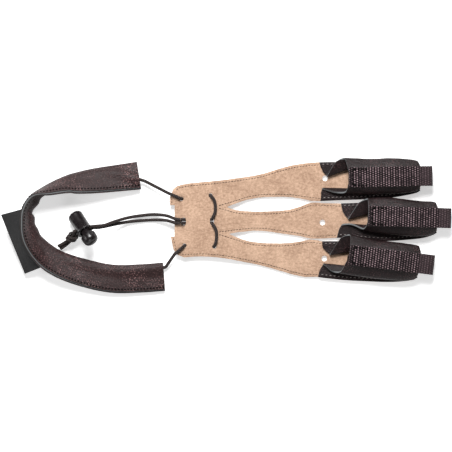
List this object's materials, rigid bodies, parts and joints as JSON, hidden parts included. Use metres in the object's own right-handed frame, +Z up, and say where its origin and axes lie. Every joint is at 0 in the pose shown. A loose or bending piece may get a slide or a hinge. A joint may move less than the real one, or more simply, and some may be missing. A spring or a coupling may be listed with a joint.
{
  "type": "archery glove",
  "caption": "Right-hand archery shooting glove: suede palm piece, leather finger stalls with elastic backs, folded wrist strap, laced cord and spring cord lock, lying open and palm down.",
  "frame": {"origin": "centre of the glove's footprint, on the table it lies on", "axes": "+X from the wrist strap to the fingertips, +Y to the index finger's side, +Z up off the table"},
  "size_m": [0.3222, 0.0958, 0.0217],
  "materials": {
    "suede_palm": "matte",
    "stall_leather": "satin",
    "elastic_webbing": "matte",
    "strap_leather": "satin",
    "label_cloth": "matte",
    "elastic_cord": "matte",
    "lock_plastic": "gloss"
  },
  "bodies": {
    "glove": {"palm_leather": "suede_palm", "index_stall": "stall_leather", "middle_stall": "stall_leather", "ring_stall": "stall_leather", "index_elastic": "elastic_webbing", "middle_elastic": "elastic_webbing", "ring_elastic": "elastic_webbing", "wrist_strap": "strap_leather", "strap_label": "label_cloth", "lace_cord": "elastic_cord", "draw_cord_upper": "elastic_cord", "draw_cord_lower": "elastic_cord", "cord_knot": "elastic_cord", "cord_lock_barrel": "lock_plastic"},
    "button": {"cord_lock_button": "lock_plastic"}
  },
  "joints": [
    {"name": "lock_button", "type": "slide", "parent": "glove", "child": "button", "axis": [-0.4899, 0.7346, -0.4695], "range_m": [0, 0.0022], "stiffness_N_per_m": 600, "springref_m": -0.002}
  ]
}
